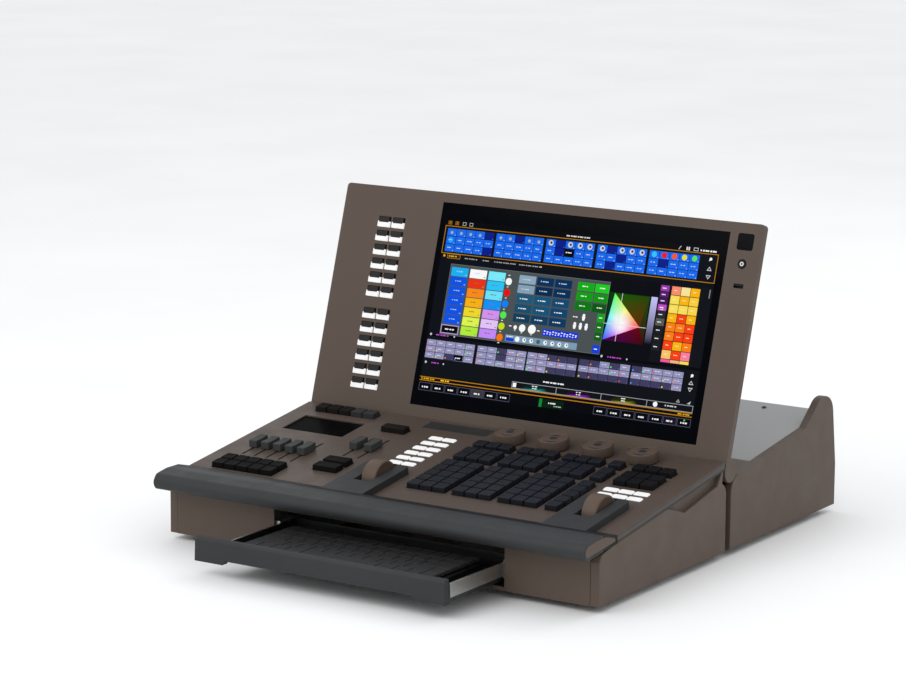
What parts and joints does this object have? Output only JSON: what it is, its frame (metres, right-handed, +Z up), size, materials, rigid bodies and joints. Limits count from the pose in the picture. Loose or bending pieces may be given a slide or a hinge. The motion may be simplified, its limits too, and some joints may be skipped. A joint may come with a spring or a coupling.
{
  "type": "lighting control desk",
  "caption": "Stage lighting control desk with a sloping key and fader panel, a tilting touch display on rear hinges, thumb wheels, encoder knobs and a pull-out keyboard drawer.",
  "frame": {"origin": "on the floor plane, under the middle of the box that holds the desk with its keyboard drawer out", "axes": "+Z up, -Y towards the operator, +X to the operator's right"},
  "size_m": [0.62, 0.721, 0.4023],
  "materials": {
    "housing": "satin brown-grey powder coat",
    "shell": "satin brown-grey moulding, painted like the sheet metal",
    "alloy": "mill-finish aluminium case",
    "trim": "matte dark grey moulding",
    "key": "matte near-black keycap",
    "lit_key": "translucent white, lit from behind",
    "knob": "satin brown-grey moulding",
    "fader_cap": "matte grey",
    "screen": "black bonded touch glass",
    "deck": "light grey, faintly streaked",
    "steel": "brushed zinc-plated steel",
    "connector": "black",
    "board": "green solder mask",
    "rubber": "matte"
  },
  "bodies": {
    "chassis": {"base_pan": "housing", "drawer_bay": "steel", "side_panels": "shell", "rear_cheeks": "shell", "hinge_crossbar": "housing", "rear_deck_cover": "deck", "rear_panel": "housing", "rear_connectors": "connector", "power_inlet": "connector", "feet": "rubber", "control_panel": "housing", "side_trims": "trim", "armrest": "trim", "armrest_end_caps": "housing", "wheel_inlays": "trim", "encoder_modules": "steel", "fader_tracks": "steel", "small_display": "screen", "name_plate": "trim", "control_boards": "board", "main_board": "board", "power_supply": "alloy", "cooling_fan": "connector", "hinge_brackets": "steel", "hinge_pins": "steel", "case_screws": "steel"},
    "display": {"display_frame": "shell", "display_glass": "screen", "display_module": "board", "display_rear_shell": "shell", "status_window": "connector", "usb_port": "steel", "hinge_arms": "steel"},
    "display_key_set": {"display_keys": "lit_key"},
    "display_power_button": {"power_button": "key"},
    "drawer": {"drawer_front": "trim", "drawer_tray": "connector", "drawer_rails": "steel", "keyboard_base": "key"},
    "keyboard_key_set": {"keyboard_keys": "key"},
    "keypad_key_set": {"keypad_keys": "key"},
    "command_key_set": {"command_keys": "key"},
    "navigation_key_set": {"navigation_keys": "key"},
    "playback_key_set": {"playback_keys": "key"},
    "wide_key_set": {"wide_keys": "key"},
    "backlit_key_set": {"backlit_keys": "lit_key"},
    "left_thumb_wheel": {"thumb_wheel_left": "knob"},
    "right_thumb_wheel": {"thumb_wheel_right": "knob"},
    "rocker": {"power_rocker": "connector"},
    "encoder_1": {"encoder_knob_1": "knob"},
    "encoder_2": {"encoder_knob_2": "knob"},
    "encoder_3": {"encoder_knob_3": "knob"},
    "encoder_4": {"encoder_knob_4": "knob"},
    "playback_fader_1_cap": {"playback_fader_1": "fader_cap"},
    "playback_fader_2_cap": {"playback_fader_2": "fader_cap"},
    "playback_fader_3_cap": {"playback_fader_3": "fader_cap"},
    "playback_fader_4_cap": {"playback_fader_4": "fader_cap"},
    "playback_fader_5_cap": {"playback_fader_5": "fader_cap"},
    "master_fader_1_cap": {"master_fader_1": "fader_cap"},
    "master_fader_2_cap": {"master_fader_2": "fader_cap"}
  },
  "joints": [
    {"name": "display_tilt", "type": "hinge", "parent": "chassis", "child": "display", "pos_m": [0, 0.0735, 0.10799], "axis": [1, 0, 0], "range_deg": [-62.5, 10]},
    {"name": "drawer_slide", "type": "slide", "parent": "chassis", "child": "drawer", "axis": [0, 1, 0], "range_m": [0, 0.108]},
    {"name": "keyboard_key_press", "type": "slide", "parent": "drawer", "child": "keyboard_key_set", "axis": [0, 0, -1], "range_m": [0, 0.0018], "stiffness_N_per_m": 1500, "springref_m": -0.003},
    {"name": "keypad_key_press", "type": "slide", "parent": "chassis", "child": "keypad_key_set", "axis": [0, 0.1374, -0.9905], "range_m": [0, 0.002], "stiffness_N_per_m": 2500, "springref_m": -0.003},
    {"name": "command_key_press", "type": "slide", "parent": "chassis", "child": "command_key_set", "axis": [0, 0.1374, -0.9905], "range_m": [0, 0.002], "stiffness_N_per_m": 1500, "springref_m": -0.003},
    {"name": "navigation_key_press", "type": "slide", "parent": "chassis", "child": "navigation_key_set", "axis": [0, 0.1374, -0.9905], "range_m": [0, 0.002], "stiffness_N_per_m": 500, "springref_m": -0.003},
    {"name": "playback_key_press", "type": "slide", "parent": "chassis", "child": "playback_key_set", "axis": [0, 0.1374, -0.9905], "range_m": [0, 0.002], "stiffness_N_per_m": 800, "springref_m": -0.003},
    {"name": "wide_key_press", "type": "slide", "parent": "chassis", "child": "wide_key_set", "axis": [0, 0.1374, -0.9905], "range_m": [0, 0.002], "stiffness_N_per_m": 400, "springref_m": -0.003},
    {"name": "backlit_key_press", "type": "slide", "parent": "chassis", "child": "backlit_key_set", "axis": [0, 0.1374, -0.9905], "range_m": [0, 0.0012], "stiffness_N_per_m": 700, "springref_m": -0.003},
    {"name": "display_key_press", "type": "slide", "parent": "display", "child": "display_key_set", "axis": [0, 0.9566, -0.2914], "range_m": [0, 0.0015], "stiffness_N_per_m": 1200, "springref_m": -0.003},
    {"name": "power_button_press", "type": "slide", "parent": "display", "child": "display_power_button", "axis": [0, 0.9566, -0.2914], "range_m": [0, 0.0015], "stiffness_N_per_m": 300, "springref_m": -0.003},
    {"name": "encoder_1_turn", "type": "hinge", "parent": "chassis", "child": "encoder_1", "pos_m": [0.0237, 0.02444, 0.11713], "axis": [0, -0.1374, 0.9905], "continuous": true},
    {"name": "encoder_2_turn", "type": "hinge", "parent": "chassis", "child": "encoder_2", "pos_m": [0.0874, 0.02444, 0.11713], "axis": [0, -0.1374, 0.9905], "continuous": true},
    {"name": "encoder_3_turn", "type": "hinge", "parent": "chassis", "child": "encoder_3", "pos_m": [0.1511, 0.02444, 0.11713], "axis": [0, -0.1374, 0.9905], "continuous": true},
    {"name": "encoder_4_turn", "type": "hinge", "parent": "chassis", "child": "encoder_4", "pos_m": [0.2148, 0.02444, 0.11713], "axis": [0, -0.1374, 0.9905], "continuous": true},
    {"name": "left_thumb_wheel_turn", "type": "hinge", "parent": "chassis", "child": "left_thumb_wheel", "pos_m": [-0.06, -0.14514, 0.08926], "axis": [1, 0, 0], "continuous": true},
    {"name": "right_thumb_wheel_turn", "type": "hinge", "parent": "chassis", "child": "right_thumb_wheel", "pos_m": [0.2525, -0.14514, 0.08926], "axis": [1, 0, 0], "continuous": true},
    {"name": "playback_fader_1_slide", "type": "slide", "parent": "chassis", "child": "playback_fader_1_cap", "axis": [0, 0.9905, 0.1374], "range_m": [-0.03, 0.03]},
    {"name": "playback_fader_2_slide", "type": "slide", "parent": "chassis", "child": "playback_fader_2_cap", "axis": [0, 0.9905, 0.1374], "range_m": [-0.03, 0.03]},
    {"name": "playback_fader_3_slide", "type": "slide", "parent": "chassis", "child": "playback_fader_3_cap", "axis": [0, 0.9905, 0.1374], "range_m": [-0.03, 0.03]},
    {"name": "playback_fader_4_slide", "type": "slide", "parent": "chassis", "child": "playback_fader_4_cap", "axis": [0, 0.9905, 0.1374], "range_m": [-0.03, 0.03]},
    {"name": "playback_fader_5_slide", "type": "slide", "parent": "chassis", "child": "playback_fader_5_cap", "axis": [0, 0.9905, 0.1374], "range_m": [-0.03, 0.03]},
    {"name": "master_fader_1_slide", "type": "slide", "parent": "chassis", "child": "master_fader_1_cap", "axis": [0, 0.9905, 0.1374], "range_m": [-0.03, 0.03]},
    {"name": "master_fader_2_slide", "type": "slide", "parent": "chassis", "child": "master_fader_2_cap", "axis": [0, 0.9905, 0.1374], "range_m": [-0.03, 0.03]},
    {"name": "power_rocker_press", "type": "hinge", "parent": "chassis", "child": "rocker", "pos_m": [-0.212, 0.3445, 0.064], "axis": [1, 0, 0], "range_deg": [0, 20]}
  ]
}
